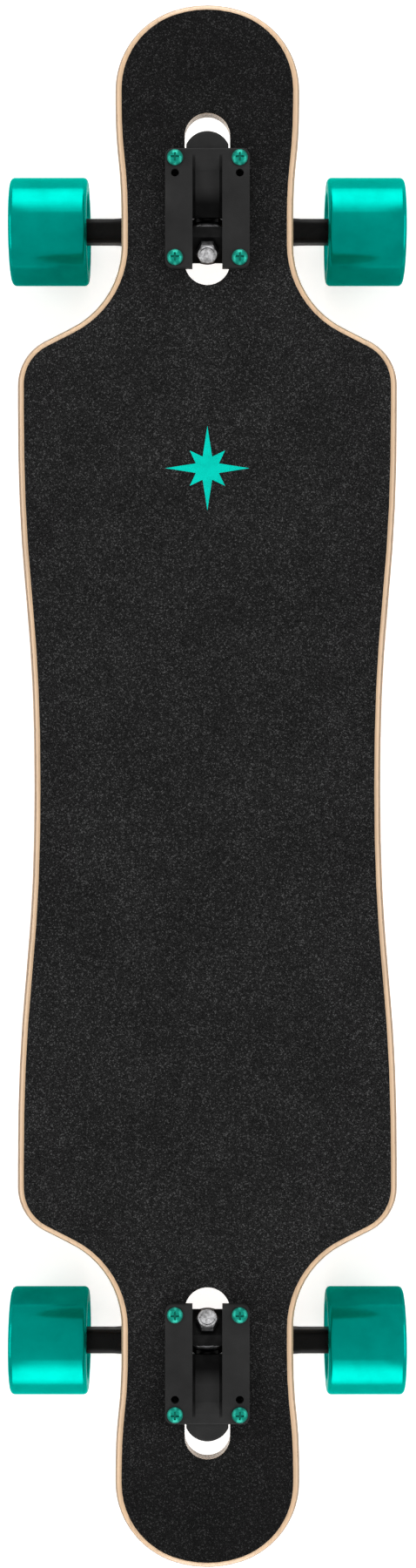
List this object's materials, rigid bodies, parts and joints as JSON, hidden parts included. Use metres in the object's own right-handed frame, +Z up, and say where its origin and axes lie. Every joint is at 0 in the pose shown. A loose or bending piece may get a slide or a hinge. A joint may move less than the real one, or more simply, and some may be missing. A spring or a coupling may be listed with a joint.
{
  "type": "longboard skateboard",
  "caption": "Drop-through longboard skateboard with a twin-tipped plywood deck, grip tape, steering trucks and urethane wheels.",
  "frame": {"origin": "on the floor under the middle of the deck", "axes": "+X to the right, +Y along the board to the nose, +Z up"},
  "size_m": [0.26, 1, 0.104],
  "materials": {
    "maple_ply": "clear satin lacquer over seven maple plies",
    "grip": "black abrasive grip tape",
    "star": "flat teal die-cut sheet",
    "black_casting": "matt black powder coat on cast aluminium",
    "cup_plastic": "moulded",
    "zinc_steel": "bright zinc plate",
    "bushing_urethane": "cast urethane",
    "steel": "ground",
    "bearing_steel": "polished bearing steel",
    "teal_bolt": "gloss teal enamel on steel",
    "black_nut": "black oxide",
    "teal_urethane": "glossy cast urethane, teal",
    "core_plastic": "moulded nylon",
    "shield": "rubber-faced shield",
    "cage_plastic": "moulded nylon"
  },
  "bodies": {
    "board": {"deck": "maple_ply", "grip_tape": "grip", "grip_star": "star", "front_baseplate": "black_casting", "front_pivot_cup": "cup_plastic", "front_kingpin": "zinc_steel", "front_kingpin_nut": "zinc_steel", "front_bushing_washers": "zinc_steel", "front_boardside_bushing": "bushing_urethane", "front_roadside_bushing": "bushing_urethane", "front_mounting_bolts": "teal_bolt", "front_mounting_nuts": "black_nut", "rear_baseplate": "black_casting", "rear_pivot_cup": "cup_plastic", "rear_kingpin": "zinc_steel", "rear_kingpin_nut": "zinc_steel", "rear_bushing_washers": "zinc_steel", "rear_boardside_bushing": "bushing_urethane", "rear_roadside_bushing": "bushing_urethane", "rear_mounting_bolts": "teal_bolt", "rear_mounting_nuts": "black_nut"},
    "front_hanger_body": {"front_hanger": "black_casting", "front_axle": "steel", "front_axle_nuts": "zinc_steel", "front_speed_rings": "steel", "front_bearing_spacers": "steel", "front_bearing_inner_rings": "bearing_steel"},
    "front_left_wheel_body": {"front_left_wheel_tyre": "teal_urethane", "front_left_wheel_core": "core_plastic", "front_left_bearing_outer_rings": "bearing_steel", "front_left_bearing_shields": "shield"},
    "front_left_ball_set": {"front_left_bearing_balls": "bearing_steel", "front_left_bearing_cages": "cage_plastic"},
    "front_right_wheel_body": {"front_right_wheel_tyre": "teal_urethane", "front_right_wheel_core": "core_plastic", "front_right_bearing_outer_rings": "bearing_steel", "front_right_bearing_shields": "shield"},
    "front_right_ball_set": {"front_right_bearing_balls": "bearing_steel", "front_right_bearing_cages": "cage_plastic"},
    "rear_hanger_body": {"rear_hanger": "black_casting", "rear_axle": "steel", "rear_axle_nuts": "zinc_steel", "rear_speed_rings": "steel", "rear_bearing_spacers": "steel", "rear_bearing_inner_rings": "bearing_steel"},
    "rear_left_wheel_body": {"rear_left_wheel_tyre": "teal_urethane", "rear_left_wheel_core": "core_plastic", "rear_left_bearing_outer_rings": "bearing_steel", "rear_left_bearing_shields": "shield"},
    "rear_left_ball_set": {"rear_left_bearing_balls": "bearing_steel", "rear_left_bearing_cages": "cage_plastic"},
    "rear_right_wheel_body": {"rear_right_wheel_tyre": "teal_urethane", "rear_right_wheel_core": "core_plastic", "rear_right_bearing_outer_rings": "bearing_steel", "rear_right_bearing_shields": "shield"},
    "rear_right_ball_set": {"rear_right_bearing_balls": "bearing_steel", "rear_right_bearing_cages": "cage_plastic"}
  },
  "joints": [
    {"name": "front_steer", "type": "hinge", "parent": "board", "child": "front_hanger_body", "pos_m": [0, 0.35978, 0.06922], "axis": [0, 0.766, 0.6428], "range_deg": [-12, 12], "stiffness_Nm_per_rad": 60, "deforming": ["front_boardside_bushing", "front_roadside_bushing"]},
    {"name": "front_left_wheel_spin", "type": "hinge", "parent": "front_hanger_body", "child": "front_left_wheel_body", "pos_m": [-0.1045, 0.368, 0.035], "axis": [1, 0, 0], "continuous": true},
    {"name": "front_left_ball_orbit", "type": "hinge", "parent": "front_hanger_body", "child": "front_left_ball_set", "pos_m": [-0.1045, 0.368, 0.035], "axis": [1, 0, 0], "continuous": true},
    {"name": "front_right_wheel_spin", "type": "hinge", "parent": "front_hanger_body", "child": "front_right_wheel_body", "pos_m": [0.1045, 0.368, 0.035], "axis": [1, 0, 0], "continuous": true},
    {"name": "front_right_ball_orbit", "type": "hinge", "parent": "front_hanger_body", "child": "front_right_ball_set", "pos_m": [0.1045, 0.368, 0.035], "axis": [1, 0, 0], "continuous": true},
    {"name": "rear_steer", "type": "hinge", "parent": "board", "child": "rear_hanger_body", "pos_m": [0, -0.35978, 0.06922], "axis": [0, -0.766, 0.6428], "range_deg": [-12, 12], "stiffness_Nm_per_rad": 60, "deforming": ["rear_boardside_bushing", "rear_roadside_bushing"]},
    {"name": "rear_left_wheel_spin", "type": "hinge", "parent": "rear_hanger_body", "child": "rear_left_wheel_body", "pos_m": [-0.1045, -0.368, 0.035], "axis": [1, 0, 0], "continuous": true},
    {"name": "rear_left_ball_orbit", "type": "hinge", "parent": "rear_hanger_body", "child": "rear_left_ball_set", "pos_m": [-0.1045, -0.368, 0.035], "axis": [1, 0, 0], "continuous": true},
    {"name": "rear_right_wheel_spin", "type": "hinge", "parent": "rear_hanger_body", "child": "rear_right_wheel_body", "pos_m": [0.1045, -0.368, 0.035], "axis": [1, 0, 0], "continuous": true},
    {"name": "rear_right_ball_orbit", "type": "hinge", "parent": "rear_hanger_body", "child": "rear_right_ball_set", "pos_m": [0.1045, -0.368, 0.035], "axis": [1, 0, 0], "continuous": true}
  ],
  "couplings": [
    {"joint": "front_left_ball_orbit", "follows": "front_left_wheel_spin", "ratio": 0.6323},
    {"joint": "front_right_ball_orbit", "follows": "front_right_wheel_spin", "ratio": 0.6323},
    {"joint": "rear_left_ball_orbit", "follows": "rear_left_wheel_spin", "ratio": 0.6323},
    {"joint": "rear_right_ball_orbit", "follows": "rear_right_wheel_spin", "ratio": 0.6323}
  ]
}
